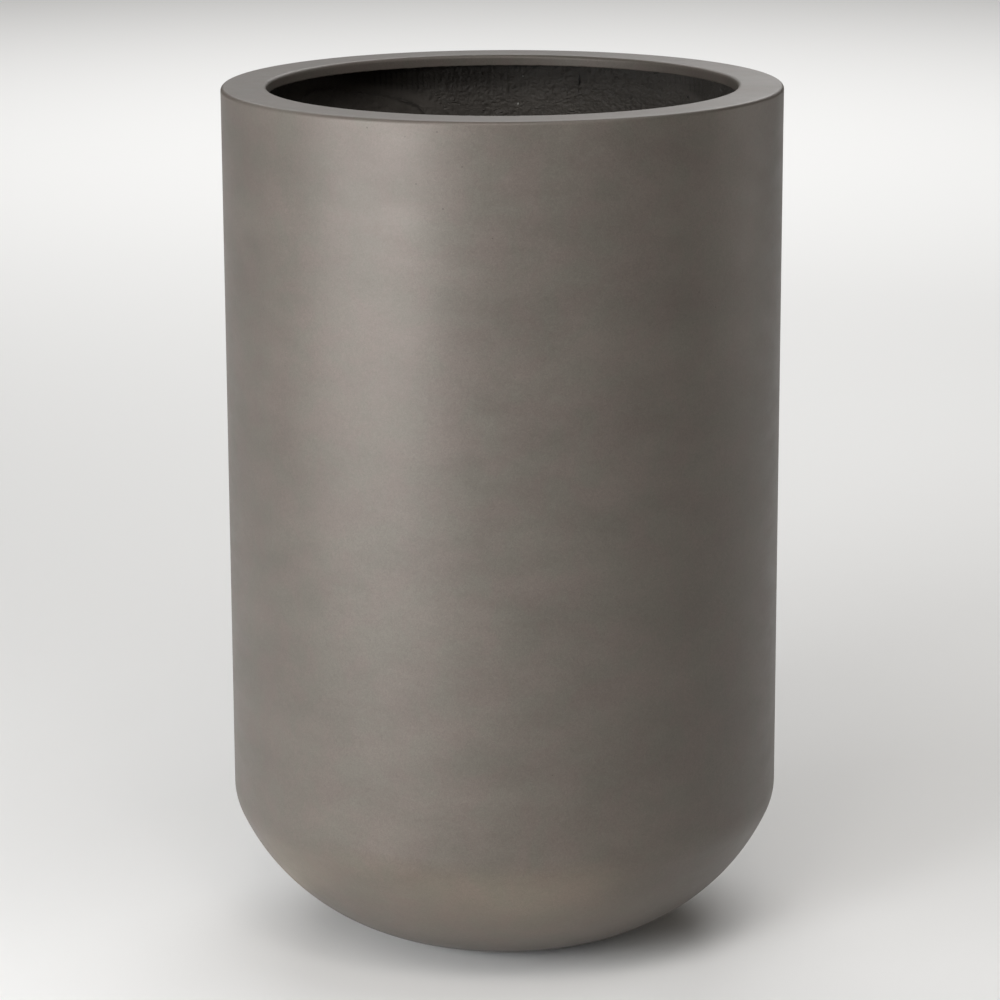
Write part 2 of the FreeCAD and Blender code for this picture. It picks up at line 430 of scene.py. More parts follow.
def laminateFinish():
    # hand-laid glass in dark resin: woven imprint with grooves at each repeat and lumps; painted shade
    # darkens the weave grooves and the hollows of the relief, and a painted shadow lies beside the lapped
    # patch
    s = laminateSettings
    material, tree = newMaterial("laminateDarkResin")
    place = objectSpace(tree)
    weave = addNode(tree, "ShaderNodeUVMap", uv_map="weave").outputs["UV"]
    wanderInputs = {"Vector": place, "Scale": s["wanderScale"], "Detail": s["wanderDetail"]}
    wander = addNode(tree, "ShaderNodeTexNoise", wanderInputs).outputs["Color"]
    shiftInputs = {"Fac": s["wanderShare"], "Color1": weave, "Color2": wander}
    shifted = addNode(tree, "ShaderNodeMixRGB", shiftInputs, blend_type="ADD").outputs[0]
    parts = addNode(tree, "ShaderNodeSeparateXYZ", {"Vector": shifted})
    grooves = []
    for axis in ("X", "Y"):
        wave = mathOf(tree, "SINE", mathOf(tree, "MULTIPLY", parts.outputs[axis], 2 * math.pi))
        grooves.append(mapped(tree, wave, *s["grooveRange"]))
    grid = mathOf(tree, "MAXIMUM", grooves[0], grooves[1])
    patches = mapped(tree, noiseOf(tree, place, *s["patches"]), *s["patchRange"])
    printed = mathOf(tree, "MULTIPLY", grid, patches)
    lumps = noiseOf(tree, place, *s["lumps"])
    fine = noiseOf(tree, place, *s["fine"])
    raised = weighted(tree, lumps, s["lumpHeight"], fine, s["fineHeight"])
    height = weighted(tree, raised, 1.0, printed, s["weaveHeight"])
    stains = noiseOf(tree, place, *s["stains"])
    tone = mixColour(tree, mapped(tree, stains, *s["stainRange"]), s["dark"], s["light"])
    # painted shade in the hollows of the relief and painted light on its lumps
    heightShaded = mixColour(tree, 1.0, tone, mapped(tree, height, *s["heightShadeRange"]), "MULTIPLY")
    grooveAndEdgeShade = addNode(tree, "ShaderNodeAttribute", attribute_name="grooveAndEdgeShade").outputs["Fac"]
    smooth = addNode(tree, "ShaderNodeAttribute", attribute_name="smooth").outputs["Fac"]
    streaked = mapped(tree, noiseOf(tree, place, *s["streaks"]), *s["streakRange"])
    # painted shade: the weave grooves and the patch's shadow side darken towards the near-black colour
    shadeDarkened = mixColour(tree, mathOf(tree, "MULTIPLY", grooveAndEdgeShade, streaked), heightShaded, s["resin"])
    brushedShare = mathOf(tree, "MULTIPLY", smooth, s["brushedShare"])
    strength = mapped(tree, smooth, 0.0, 1.0, s["bump"], s["brushedBump"])
    finishShader(
        tree,
        {
            "Base Color": mixColour(tree, brushedShare, shadeDarkened, s["brushed"]),
            "Roughness": mapped(tree, lumps, *s["roughRange"]),
            "Normal": bumpOf(tree, height, strength, s["bumpDistance"]),
            "Specular IOR Level": s["gloss"],
        },
    )
    return material


pasteSettings = {
    "dark": (0.035, 0.031, 0.027, 1.0),
    "light": (0.055, 0.049, 0.043, 1.0),
    "lumps": (90.0, 4.0, 0.6),
    "fine": (600.0, 2.0),
    "toneRange": (0.35, 0.65),
    "roughRange": (0.3, 0.7, 0.4, 0.6),
    "fineHeight": 0.3,
    "bump": (0.5, 0.001),
}


def pasteFinish():
    # bonding paste: grey-black, lumpy, a little glossier than the laminate
    s = pasteSettings
    material, tree = newMaterial("bondingPaste")
    place = objectSpace(tree)
    lumps = noiseOf(tree, place, *s["lumps"])
    fine = noiseOf(tree, place, *s["fine"])
    height = weighted(tree, lumps, 1.0, fine, s["fineHeight"])
    finishShader(
        tree,
        {
            "Base Color": mixColour(tree, mapped(tree, lumps, *s["toneRange"]), s["dark"], s["light"]),
            "Roughness": mapped(tree, lumps, *s["roughRange"]),
            "Normal": bumpOf(tree, height, *s["bump"]),
        },
    )
    return material


rubberSettings = {
    "clean": (0.012, 0.012, 0.012, 1.0),
    "dusty": (0.045, 0.042, 0.038, 1.0),
    "dust": (120.0, 4.0, 0.65),
    "grain": (1800.0, 2.0),
    "dustRange": (0.5, 0.75, 0.0, 0.6),
    "roughRange": (0.3, 0.7, 0.55, 0.75),
    "bump": (0.3, 0.0003),
}


def rubberFinish():
    # moulded black rubber with dust in its grain
    s = rubberSettings
    material, tree = newMaterial("rubberBlack")
    place = objectSpace(tree)
    dust = noiseOf(tree, place, *s["dust"])
    grain = noiseOf(tree, place, *s["grain"])
    finishShader(
        tree,
        {
            "Base Color": mixColour(tree, mapped(tree, dust, *s["dustRange"]), s["clean"], s["dusty"]),
            "Roughness": mapped(tree, dust, *s["roughRange"]),
            "Normal": bumpOf(tree, grain, *s["bump"]),
        },
    )
    return material


markFinishSettings = {"mottle": (900.0, 3.0), "toneRange": (0.35, 0.65), "bump": (0.3, 0.0003)}


def markFinish(name, colour, paler, roughness):
    # mottled finish for small marks: bare resin, a stray bit of glass, and the near-black painted shade of
    # the J-shaped mark
    s = markFinishSettings
    material, tree = newMaterial(name)
    mottle = noiseOf(tree, objectSpace(tree), *s["mottle"])
    finishShader(
        tree,
        {
            "Base Color": mixColour(tree, mapped(tree, mottle, *s["toneRange"]), colour, paler),
            "Roughness": roughness,
            "Normal": bumpOf(tree, mottle, *s["bump"]),
        },
    )
    return material


coat = coatFinish()
laminate = laminateFinish()
# this near-black finish is real resin on the blob and painted shade on the J-shaped mark
resin = markFinish("resinDarkAndShade", (0.014, 0.012, 0.010, 1), (0.026, 0.023, 0.020, 1), 0.35)
glass = markFinish("glassStray", (0.30, 0.30, 0.28, 1), (0.55, 0.55, 0.52, 1), 0.3)
paste = pasteFinish()
rubber = rubberFinish()
print("finishes made")


# ---- body shell

shellSettings = {
    "cornerHeight": 0.119,
    "cornerRadius": 0.048,
    "cornerTurn": 24.0,        # degrees from upright where the corner meets the bowl
    "bowlRadius": 0.172,
    "baseEdgeRadius": 0.030,
    "drainRadius": 0.0125,
    "columns": 400,
    "outerRows": 56,
    "innerRows": 12,
    "innerDetail": 0.6,
    "cornerRows": 14,
    "bowlRows": 36,
    "edgeRows": 8,
    "floorRows": 14,
    "wave": 0.00012,           # how far the moulded wall is from a true cylinder
    "waves": ((9, 7, 11, 1.0), (23, 16, 12, 0.5)),
    "waveShare": 0.5,
    "waveInset": 0.75,
    "trueUnderRim": 0.03,      # the waves fade out towards the rim and stop at the flat base
    "trueOverBase": 0.004,
}


def shellOutline(inset, top, wallRows, detail=1.0):
    # wall, corner, bowl and floor at a distance inside the outer surface, from the top to the drain
    s = shellSettings
    turnTo = s["cornerTurn"]
    cornerCentre = (wallRadius - s["cornerRadius"], s["cornerHeight"])
    cornerEnd = arcLine(cornerCentre, s["cornerRadius"], turnTo, turnTo, 1)[0]
    bowlCentre = arcLine(cornerEnd, -s["bowlRadius"], turnTo, turnTo, 1)[0]
    edgeHeight = baseHeight + s["baseEdgeRadius"]
    span = s["bowlRadius"] - s["baseEdgeRadius"]
    baseTurn = math.degrees(math.asin((bowlCentre[1] - edgeHeight) / span))
    edgeCentre = arcLine(bowlCentre, span, baseTurn, baseTurn, 1)[0]
    floorHeight = baseHeight + inset
    floorEnds = (edgeCentre[0], floorHeight), (s["drainRadius"], floorHeight)
    return joinLines(
        straightLine((wallRadius - inset, top), (wallRadius - inset, s["cornerHeight"]), wallRows),
        arcLine(cornerCentre, s["cornerRadius"] - inset, 0, turnTo, round(s["cornerRows"] * detail)),
        arcLine(bowlCentre, s["bowlRadius"] - inset, turnTo, baseTurn, round(s["bowlRows"] * detail)),
        arcLine(edgeCentre, s["baseEdgeRadius"] - inset, baseTurn, 90, round(s["edgeRows"] * detail)),
        straightLine(*floorEnds, round(s["floorRows"] * detail)),
    )


def makeShell():
    s = shellSettings
    outer = shellOutline(0.0, rimUnderside, s["outerRows"])
    inner = shellOutline(shellThickness, rimUnderside, s["innerRows"], s["innerDetail"])[::-1]
    points = turnProfile(joinLines(outer, inner), s["columns"])
    share = np.linspace(0, 1, len(outer))[:, None]
    wave = layered(softNoise, acrossShare(s["columns"]), share, s["waves"])
    height = outer[:, 1:2]
    fade = np.clip((rimUnderside - height) / s["trueUnderRim"], 0, 1)
    fade = fade * (height > baseHeight + s["trueOverBase"])
    depth = np.zeros(points.shape[:2])
    depth[: len(outer)] = -s["wave"] * (wave * s["waveShare"] + s["waveInset"]) * fade
    shell = gridMesh("body_shell", pushAlongNormals(points, depth, True), True)
    return finishPiece(shell, coat, "shell_coat", "outer_shell")


makeShell()
print("body shell made")


# ---- rim ring

rimSettings = {
    "width": 0.035,
    "edgeRadius": 0.003,
    "lipDepth": 0.009,
    "lipThickness": 0.005,
    "lipEdge": 0.0008,
    "columns": 900,
    "outerRows": 3,
    "edgeRows": 12,
    "topRows": 14,
    "lipRows": 8,
    "lipFrontRows": 5,
    "lipFootRows": 6,
    "lipBackRows": 4,
    "undersideRows": 8,
    "trimRoughness": 0.00016,  # how unevenly the lip's lower edge is trimmed
    "trimHeight": 0.0016,
    "trims": ((420, 1, 21, 1.0), (150, 1, 22, 0.5)),
    "offRound": 0.0004,        # how far the hand-ground mouth is from a true circle
    "offRoundTo": 0.008,
    "offRoundFade": 0.005,
    "wanders": ((13, 1, 23, 1.0), (41, 1, 24, 0.4)),
}


def makeRim():
    s = rimSettings
    mouth = wallRadius - s["width"]
    back = mouth + s["lipThickness"]
    edge, small = s["edgeRadius"], s["lipEdge"]
    lipLow = topHeight - s["lipDepth"]
    profile = joinLines(
        straightLine((wallRadius, rimUnderside), (wallRadius, topHeight - edge), s["outerRows"]),
        arcLine((wallRadius - edge, topHeight - edge), edge, 0, -90, s["edgeRows"]),
        straightLine((wallRadius - edge, topHeight), (mouth + edge, topHeight), s["topRows"]),
        arcLine((mouth + edge, topHeight - edge), edge, -90, -180, s["edgeRows"]),
        straightLine((mouth, topHeight - edge), (mouth, lipLow + small), s["lipRows"]),
        arcLine((mouth + small, lipLow + small), small, 180, 90, s["lipFrontRows"]),
        straightLine((mouth + small, lipLow), (back - small, lipLow), s["lipFootRows"]),
        arcLine((back - small, lipLow + small), small, 90, 0, s["lipBackRows"]),
        straightLine((back, lipLow + small), (back, rimUnderside), s["outerRows"]),
        straightLine((back, rimUnderside), (wallRadius, rimUnderside), s["undersideRows"]),
    )[::-1][1:]
    points = turnProfile(profile, s["columns"])
    across = acrossShare(s["columns"])
    radius, height = profile[:, 0:1], profile[:, 1:2]
    nearLip = np.clip((lipLow + s["trimHeight"] - height) / s["trimHeight"], 0, 1)
    ragged = layered(softNoise, across, height * 0, s["trims"])
    points[..., 2] += nearLip * s["trimRoughness"] * (ragged + 1.0)
    nearMouth = np.clip((mouth + s["offRoundTo"] - radius) / s["offRoundFade"], 0, 1)
    wander = layered(softNoise, across, height * 0, s["wanders"])
    points[..., :2] *= (1 + nearMouth * s["offRound"] * wander / mouth)[..., None]
    rim = gridMesh("rim_ring_top", points, True)
    return finishPiece(rim, coat, "shell_coat", "rim_ring")


makeRim()
print("rim made")


# ---- inner lining

liningSettings = {
    "weavePitch": 0.005,
    "bandFoot": 0.616,         # the upper band of glass ends here and laps over the lower one
    "lapThickness": 0.0003,
    "lapSlope": 0.0012,
    "lapBehind": 0.012,        # how far the lower piece goes up behind the band
    "bandColumns": 1584,
    "bandRows": 59,
    "lowerColumns": 420,
    "lowerRows": 110,
    "lowerDetail": 1.6,
    "wrinkle": 0.00100,
    "crumples": ((310, 17, 31, 0.9), (480, 26, 36, 0.4)),
    "crumpleInset": 0.2,
    "calmCells": (22, 3, 37),
    "calmMiddle": 0.85,
    "calmSpread": 0.25,
    # calmer stretches: middle and half width in degrees, and how much calmer
    "calmer": ((52, 16, 0.6), (-52, 12, 0.5)),
    "calmBrushed": 0.85,
    "calmPrinted": 0.6,
    "deepest": -0.0012,
    "highest": 0.0009,
    "weaveDepth": 0.00060,
    "swayCells": (40, 3, 35),
    "sway": 0.35,
    "patchyCells": (90, 6, 34),
    "patchyMiddle": 0.75,
    "patchySpread": 0.8,
    "alongDepth": 0.45,
    "crossingDepth": 0.4,
    # how dark the painted shade in the weave grooves is
    "grooveAndEdgeShade": 0.9,
    "plateau": 1.6,            # the printed places are this much broader than a plain bump
    # where the weave shows through: turn in degrees from the back towards the left, its half width,
    # the height of its middle, half of its extent in height, and how strong it is
    "printed": ((24, 12, 0.655, 0.019, 1.0), (-2, 8, 0.648, 0.022, 0.45), (-45, 9, 0.654, 0.014, 0.6),
                (-30, 8, 0.633, 0.011, 0.45), (95, 24, 0.648, 0.018, 0.8), (150, 30, 0.640, 0.020, 0.8),
                (-120, 26, 0.650, 0.016, 0.8)),
    "lowerCrumples": ((150, 80, 41, 1.0),),
    "lowerSwells": ((30, 16, 45, 0.6),),
    "lowerShare": 1.3,
    "lowerInset": 0.3,
    "lowerDeepest": -0.0008,
    "lowerHighest": 0.0006,
    "flatTo": 0.03,            # the lining is smooth round the drain, up to this radius
    "flatFade": 0.06,
}


patchSettings = {
    "turn": 35.8,              # degrees from the back towards the left
    "height": 0.589,
    "halfWidth": 0.070,
    "halfLength": 0.055,
    "corner": 4.0,             # exponent of the rounded outline
    "tilt": 11.0,
    "cells": 96,
    "thickness": 0.0011,
    "edgeWidth": 0.03,         # shares of the way from the middle to the edge
    "rimStart": 0.955,
    "lift": 0.0004,            # it lies over the lumps of the lining
    "sunk": 0.0008,
    "ragged": 0.010,
    "tears": ((46, 1, 61, 1.0), (17, 1, 62, 1.0)),
    "lump": 0.00035,
    "lumpCells": (240, 54, 63),
    "lumpStart": (-0.66, 0.5),
    "lumpSpan": (1.32, 0.2),
    "shadowSideFrom": -0.010,        # the painted shadow along the patch's edge lies to the left of this, none to the right
    "shadowSideOver": 0.030,
    # painted shadow along the patch's edge and just outside it: how dark, how far out and how wide
    "grooveAndEdgeShade": 0.9,
    "edgeShadowReach": 1.008,
    "edgeShadowWidth": 0.020,
    "stripReach": 1.09,        # the brushed strip round the patch
    "stripWidth": 0.13,
    "streakAway": 0.3080,      # a slanting streak of brushed resin: how far to the right of the patch
    "streakHeight": 0.641,
    "streakSlope": (0.35, 0.94),
    "streakHalfWidth": 0.005,
    "streakHalfLength": 0.026,
}


def bump(distance):
    # 1 at 0, falling smoothly to 0 at 1 and beyond
    near = np.clip(1 - np.abs(distance), 0, 1)
    return near * near * (3 - 2 * near)


wrinkleSettings = {"apart": 0.37, "bend": 0.6, "crease": 2.4, "foldShare": 0.7, "lumpShare": 0.6}


def wrinkled(across, share, cellsAcross, cellsAlong, seed):
    # crumpled skin: the creases of a noise whose lattice is itself bent by a broader noise
    s = wrinkleSettings
    coarseAcross, coarseAlong = cellsAcross // 2, max(2, cellsAlong // 2)
    bend = slopeNoise(across, share, coarseAcross, coarseAlong, seed)
    lean = slopeNoise(across + s["apart"], share, coarseAcross, coarseAlong, seed + 1)
    x = across + s["bend"] * bend / cellsAcross
    y = share + s["bend"] * lean / cellsAlong
    folds = 1 - s["crease"] * np.abs(slopeNoise(x, y, cellsAcross, cellsAlong, seed + 2))
    lumps = slopeNoise(x, y, coarseAcross, coarseAlong, seed + 3)
    return s["foldShare"] * folds + s["lumpShare"] * lumps


def shadowSideShare(x):
    # from 0 on the side of the patch without painted shadow to 1 on the side where its painted shadow lies
    s = patchSettings
    return np.clip((s["shadowSideFrom"] - x) / s["shadowSideOver"], 0, 1)


def patchSurround(turn, height):
    # shares, from 0 to 1, of the smooth strip of resin that was brushed on round the lapped patch,
    # and of the painted shadow just outside the patch's edge on one side
    s = patchSettings
    sideways = np.radians((turn - s["turn"] + 180) % 360 - 180) * liningRadius
    tilt = math.radians(s["tilt"])
    x = sideways * math.cos(tilt) + (height - s["height"]) * math.sin(tilt)
    y = (height - s["height"]) * math.cos(tilt) - sideways * math.sin(tilt)
    n = s["corner"]
    reach = ((np.abs(x) / s["halfWidth"]) ** n + (np.abs(y) / s["halfLength"]) ** n) ** (1 / n)
    strip = bump((reach - s["stripReach"]) / s["stripWidth"])
    beyond = sideways + s["streakAway"]
    rise, run = s["streakSlope"]
    diagonal = beyond * rise - (height - s["streakHeight"]) * run
    streak = bump(diagonal / s["streakHalfWidth"]) * bump(beyond / s["streakHalfLength"])
    # painted shadow just outside the patch's edge, on one side only
    edgeShadow = s["grooveAndEdgeShade"] * shadowSideShare(x) * bump((reach - s["edgeShadowReach"]) / s["edgeShadowWidth"])
    return np.maximum(strip, streak), edgeShadow


def makeLiningBand():
    # upper band of the lining, fine enough to carry the woven imprint in its mesh
    s = liningSettings
    rows, columns = s["bandRows"], s["bandColumns"]
    height = np.linspace(rimUnderside, s["bandFoot"], rows)
    points = turnProfile(np.stack([0 * height + liningRadius, height], axis=1), columns)
    across = acrossShare(columns)
    share = np.linspace(0, 1, rows)[:, None]
    turn = across * 360 - 180
    repeats = round(2 * math.pi * liningRadius / s["weavePitch"])
    down = (rimUnderside - height) / s["weavePitch"]
    shown = np.zeros((rows, columns))
    for middle, half, middleHeight, halfHeight, strength in s["printed"]:
        beside = (turn - middle + 180) % 360 - 180
        spot = bump(beside / half) * bump((height[:, None] - middleHeight) / halfHeight)
        shown = np.maximum(shown, strength * np.minimum(s["plateau"] * spot, 1))
    patchy = s["patchyMiddle"] + s["patchySpread"] * softNoise(across, share, *s["patchyCells"])
    woven = shown * np.clip(patchy, 0, 1)
    sway = s["sway"] * softNoise(across, share, *s["swayCells"])
    acrossGroove = np.clip(np.cos(2 * np.pi * (repeats * across + sway)), 0, 1) ** 2
    alongGroove = np.clip(np.cos(2 * np.pi * (down[:, None] + sway)), 0, 1) ** 2
    grooves = np.maximum(acrossGroove, s["alongDepth"] * alongGroove)
    grooves = grooves + s["crossingDepth"] * acrossGroove * alongGroove
    crumple = layered(wrinkled, across, share, s["crumples"])
    calm = s["calmMiddle"] + s["calmSpread"] * slopeNoise(across, share, *s["calmCells"])
    for middle, half, calmer in s["calmer"]:
        calm = calm * (1 - calmer * bump((turn - middle) / half))
    strip, edgeShadow = patchSurround(turn, height[:, None])
    calm = calm * (1 - s["calmBrushed"] * strip)
    relief = s["wrinkle"] * (crumple * calm * (1 - s["calmPrinted"] * shown) - s["crumpleInset"])
    relief = relief - s["weaveDepth"] * grooves * woven
    lap = s["lapThickness"] * np.clip((height - s["bandFoot"]) / s["lapSlope"], 0, 1)[:, None]
    inward = np.clip(relief, s["deepest"], s["highest"]) + lap
    points[..., :2] *= (1 - inward / liningRadius)[..., None]
    band = gridMesh("lining_upper", points[::-1], False, (repeats, down[::-1]))
    # painted shade in the weave grooves and painted shadow beside the patch
    paintPoints(band, "grooveAndEdgeShade", np.maximum(s["grooveAndEdgeShade"] * grooves * woven, edgeShadow)[::-1])
    paintPoints(band, "smooth", strip[::-1])
    return finishPiece(band, laminate, "glass_laminate", "inner_lining")


def makeLiningLower():
    # lower wall, bowl and floor of the lining
    s = liningSettings
    inset, top = shellThickness + liningThickness, s["bandFoot"] + s["lapBehind"]
    outline = shellOutline(inset, top, s["lowerRows"], s["lowerDetail"])[::-1]
    share, length = alongShare(outline)
    points = turnProfile(outline, s["lowerColumns"])
    across = acrossShare(s["lowerColumns"])
    share = share[:, None]
    calm = np.clip((outline[:, 0:1] - s["flatTo"]) / s["flatFade"], 0, 1)
    crumple = layered(wrinkled, across, share, s["lowerCrumples"])
    crumple = crumple + layered(softNoise, across, share, s["lowerSwells"])
    lump = s["wrinkle"] * s["lowerShare"] * (crumple - s["lowerInset"]) * calm
    lump = np.clip(lump, s["lowerDeepest"], s["lowerHighest"])
    inner = pushAlongNormals(points, lump, False)
    repeats = round(2 * math.pi * liningRadius / s["weavePitch"])
    piece = gridMesh("lining_lower", inner, False, (repeats, length / s["weavePitch"]))
    return finishPiece(piece, laminate, "glass_laminate", "inner_lining")


makeLiningBand()
makeLiningLower()
print("lining made")


# ---- bead under the rim

beadSettings = {
    "columns": 540,
    "flatRows": 4,
    "curveRows": 12,
    "lumps": ((70, 3, 51, 0.0003), (190, 5, 52, 0.0002)),
}


def makeBead():
    # hollow fillet between the wall and the underside of the rim, laid by hand and so uneven
    s = beadSettings
    size = rimUnderside - beadLow.z
    inner = liningRadius - size
    profile = joinLines(
        straightLine((inner, rimUnderside), (liningRadius, rimUnderside), s["flatRows"]),
        straightLine((liningRadius, rimUnderside), (liningRadius, rimUnderside - size), s["flatRows"]),
        arcLine((inner, rimUnderside - size), size, 0, -90, s["curveRows"]),
    )[:-1]
    points = turnProfile(profile, s["columns"])
    share = np.linspace(0, 1, len(profile))[:, None]
    lump = layered(softNoise, acrossShare(s["columns"]), share, s["lumps"])
    lump[: 2 * s["flatRows"] - 1] = 0
    bead = gridMesh("bonding_bead", pushAlongNormals(points, lump, True), True)
    return finishPiece(bead, paste, "bonding_paste", "rim_bead")


makeBead()
print("bead made")


# ---- lapped mat and small marks of hand work on the inside

def makePatch():
    # disc stretched to a rounded outline |x/w|^n + |y/h|^n = 1, full thickness up to a soft torn edge;
    # the tears grow over the outer third of the way to the edge
    s = patchSettings
    p, q = unitDisc(s["cells"])
    reach = np.hypot(p, q)
    angle = np.arctan2(q, p)
    lobes = (np.abs(np.cos(angle)) / s["halfWidth"]) ** s["corner"]
    lobes = lobes + (np.abs(np.sin(angle)) / s["halfLength"]) ** s["corner"]
    torn = layered(softNoise, angle / (2 * np.pi), 0 * angle, s["tears"])
    outline = lobes ** (-1 / s["corner"]) * (1 + s["ragged"] * torn * np.clip(reach * 3 - 2, 0, 1))
    x, y = reach * outline * np.cos(angle), reach * outline * np.sin(angle)
    tilt = math.radians(s["tilt"])
    sideways = x * math.cos(tilt) - y * math.sin(tilt)
    height = s["height"] + x * math.sin(tilt) + y * math.cos(tilt)
    edge = np.clip((1 - reach) / s["edgeWidth"], 0, 1)
    lumpAcross = (sideways - s["lumpStart"][0]) / s["lumpSpan"][0]
    lumpAlong = (height - s["lumpStart"][1]) / s["lumpSpan"][1]
    lump = s["lump"] * wrinkled(lumpAcross, lumpAlong, *s["lumpCells"])
    inward = s["thickness"] * edge * (2 - edge) + lump * edge + s["lift"] * np.clip(edge * 3, 0, 1)
    front = onWall(s["turn"], sideways, height, inward)
    back = onWall(s["turn"], sideways, height, 0 * inward - s["sunk"])
    pitch = liningSettings["weavePitch"]
    uv = np.stack([sideways / pitch, height / pitch], axis=-1)
    patch = sheetMesh("mat_patch_lapped", front, back, uv)
    # painted shadow along the patch's own edge, on its shadow side
    edgeShadow = s["grooveAndEdgeShade"] * np.clip((reach - s["rimStart"]) / s["edgeWidth"], 0, 1) * shadowSideShare(x)
    paintPoints(patch, "grooveAndEdgeShade", np.stack([edgeShadow, edgeShadow]))
    return finishPiece(patch, laminate, "glass_laminate", "mat_patch")


markSettings = {"cells": 17, "lift": 0.0002, "sunk": 0.0008, "hookStart": 0.35, "swell": 0.9, "droop": 0.25}
marks = {
    # turn in degrees from the back towards the left, height, half width and half length in metres,
    # how far the lower end hooks to the left, how far it stands out, and its finish
    # painted shade: the J-shaped mark is near-black to stand in for the shade beside a raised ridge
    "dark_j_mark": (-17.6, 0.6494, 0.0009, 0.0050, 0.0027, 0.0012, resin),
    "glass_fleck_upper": (-4.7, 0.6520, 0.0007, 0.0008, 0.0, 0.0005, glass),
    "glass_fleck_lower": (-3.6, 0.6290, 0.0006, 0.0011, 0.0005, 0.0005, glass),
    "resin_blob": (-45.6, 0.6425, 0.0012, 0.0012, 0.0, 0.0008, resin),
}


def makeMark(name, turn, height, halfWidth, halfLength, hook, standOut):
    # a dome over a disc that is drawn out along a line; with a hook, its lower end swells and turns
    s = markSettings
    p, q = unitDisc(s["cells"])
    inward = standOut * np.sqrt(np.clip(1 - p * p - q * q, 0, 1))
    bend = np.clip((-q - s["hookStart"]) / (1 - s["hookStart"]), 0, 1) * (hook > 0)
    sideways = p * halfWidth * (1 + s["swell"] * bend) + hook * bend ** 2
    up = height + halfLength * (q + s["droop"] * bend ** 2)
    front = onWall(turn, sideways, up, inward + s["lift"])
    back = onWall(turn, sideways, up, 0 * inward - s["sunk"])
    return sheetMesh(name, front, back)


makePatch()
for name, (*place, finish) in marks.items():
    finishPiece(makeMark(name, *place), finish, "glass_laminate")
print("patch and marks made")


# ---- floor disc

doublerSettings = {
    "columns": 360,
    "topRows": 44,
    "undersideRows": 12,
    "boreRows": 4,
    "bevelRows": 4,
    "edgeRows": 3,
    "bevel": 0.0015,
    "lump": 0.0003,
    "lumpCells": (60, 30, 71),
    "flatTo": 0.022,           # the plug's flange rests on the flat middle
    "flatFade": 0.01,
    "ragged": 0.008,
    "tearCells": (50, 1, 72),
    "tornWidth": 0.004,
}


def makeDoubler():
    # a flat ring of laminate round the drain hole, with a soft bevelled and slightly torn edge
    s = doublerSettings
    drain, reach, bevel = shellSettings["drainRadius"], doublerHigh.x, s["bevel"]
    low, high = liningThickness + shellThickness + baseHeight, doublerHigh.z
    profile = joinLines(
        straightLine((reach, low), (drain, low), s["undersideRows"]),
        straightLine((drain, low), (drain, high), s["boreRows"]),
        straightLine((drain, high), (reach - bevel, high), s["topRows"]),
        straightLine((reach - bevel, high), (reach, high - bevel), s["bevelRows"]),
        straightLine((reach, high - bevel), (reach, low), s["edgeRows"]),
    )[:-1]
    points = turnProfile(profile, s["columns"])
    across = acrossShare(s["columns"])
    share = np.linspace(0, 1, len(profile))[:, None]
    radius, height = profile[:, 0:1], profile[:, 1:2]
    onTop = height > high - 0.0001
    away = np.clip((radius - s["flatTo"]) / s["flatFade"], 0, 1) * onTop
    points[..., 2] += s["lump"] * (softNoise(across, share, *s["lumpCells"]) - 1) * away
    tear = (softNoise(across, share * 0, *s["tearCells"]) - 1) * (radius > reach - s["tornWidth"])
    points[..., :2] *= (1 + s["ragged"] * tear)[..., None]
    disc = gridMesh("floor_disc", points, True)
    return finishPiece(disc, laminate, "glass_laminate", "floor_doubler")


makeDoubler()
print("floor disc made")


# ---- pieces that keep their CAD shape

for node in ("drain_plug", "foot_pads"):
    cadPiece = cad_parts[node]
    cadPiece.data.materials.clear()
    cadPiece.data.materials.append(rubber)
print("CAD pieces finished")


# ---- floor, light and camera

floorSettings = {"size": 60.0, "colour": (0.86, 0.86, 0.855, 1.0), "roughness": 0.9}


def makeFloor():
    half = floorSettings["size"] / 2
    mesh = bpy.data.meshes.new("studio_floor")
    corners = [(-half, -half, 0), (half, -half, 0), (half, half, 0), (-half, half, 0)]
    mesh.from_pydata(corners, [], [(0, 1, 2, 3)])
    floor = bpy.data.objects.new("studio_floor", mesh)
    bpy.context.scene.collection.objects.link(floor)
    material, tree = newMaterial("studioFloor")
    finishShader(tree, {"Base Color": floorSettings["colour"], "Roughness": floorSettings["roughness"]})
    mesh.materials.append(material)


lightSettings = {
    # azimuth from the camera's side, positive to the right; degrees, metres and watts
    "leftPanelNear": {"azimuth": -38, "elevation": 6, "distance": 2.2, "size": (0.7, 0.9), "power": 30.0},
    "leftPanelFar": {"azimuth": -62, "elevation": 5, "distance": 2.2, "size": (0.8, 0.9), "power": 19.8},
    "leftEdge": {"azimuth": -85, "elevation": 5, "distance": 2.2, "size": (0.5, 0.9), "power": 0.4},
    "keyBox": {"azimuth": -22, "elevation": 40, "distance": 2.2, "size": (0.9, 0.6), "power": 7.2},
    "frontHigh": {"azimuth": 0, "elevation": 52, "distance": 2.4, "size": (0.9, 0.7), "power": 10.2},
    "leftHigh": {"azimuth": -34, "elevation": 26, "distance": 2.2, "size": (0.7, 0.7), "power": 3.5},
    "rightHigh": {"azimuth": 22, "elevation": 42, "distance": 2.4, "size": (0.9, 0.7), "power": 3.8},
    "overRight": {"azimuth": 60, "elevation": 66, "distance": 2.7, "size": (1.2, 1.2), "power": 10.0},
    "rightEdge": {"azimuth": 106, "elevation": 5, "distance": 2.2, "size": (1.4, 0.9), "power": 4.4},
    "backRight": {"azimuth": 160, "elevation": 30, "distance": 2.2, "size": (0.9, 0.9), "power": 3.2},
    "floorWash": {"azimuth": 180, "elevation": 34, "distance": 5.4, "size": (4.5, 4.5), "power": 182},
}
